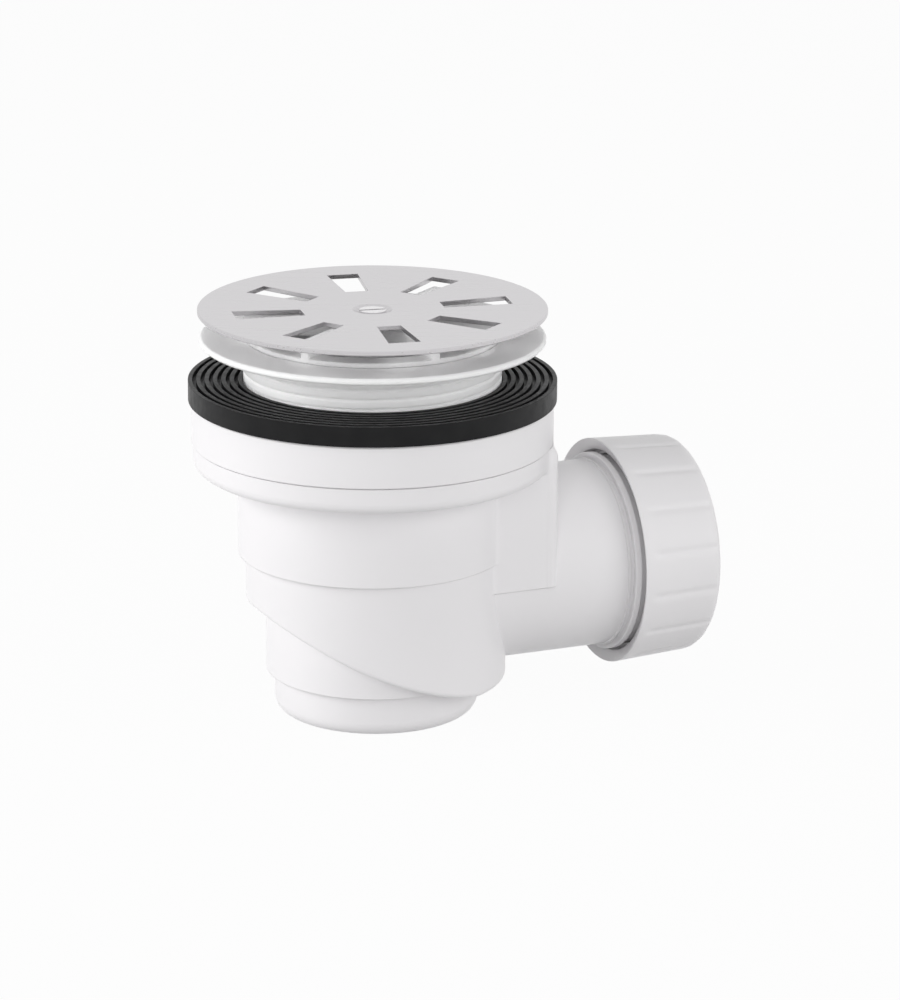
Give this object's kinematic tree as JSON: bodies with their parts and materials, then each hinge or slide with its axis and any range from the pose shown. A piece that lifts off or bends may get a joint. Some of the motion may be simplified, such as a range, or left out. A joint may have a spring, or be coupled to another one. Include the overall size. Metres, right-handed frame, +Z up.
{
  "type": "trapped shower gully",
  "caption": "White plastic shower gully with a water trap: slotted steel grate, lift-out dip tube, tray clamp with ridged gasket, sloping trap body and side outlet with compression nut.",
  "frame": {"origin": "on the body's axis, at the height where the gasket's ridges meet the underside of the tray", "axes": "+Z up along the body's axis, +X along the outlet, away from the body"},
  "size_m": [0.1699, 0.1194, 0.1353],
  "materials": {
    "white_plastic": "white moulded polypropylene, satin gloss",
    "steel": "stainless steel with a fine straight grain",
    "rubber": "black rubber, matt",
    "brass": "turned brass"
  },
  "bodies": {
    "root": {"dip_tube": "white_plastic", "clamp_flange": "white_plastic", "collar_ring": "white_plastic", "trap_body": "white_plastic", "compression_nut": "white_plastic", "slip_ring": "white_plastic", "grate": "steel", "grate_screw": "steel", "tray_gasket": "rubber", "dip_tube_seal": "rubber", "cone_seal": "rubber", "screw_insert": "brass"}
  },
  "joints": []
}
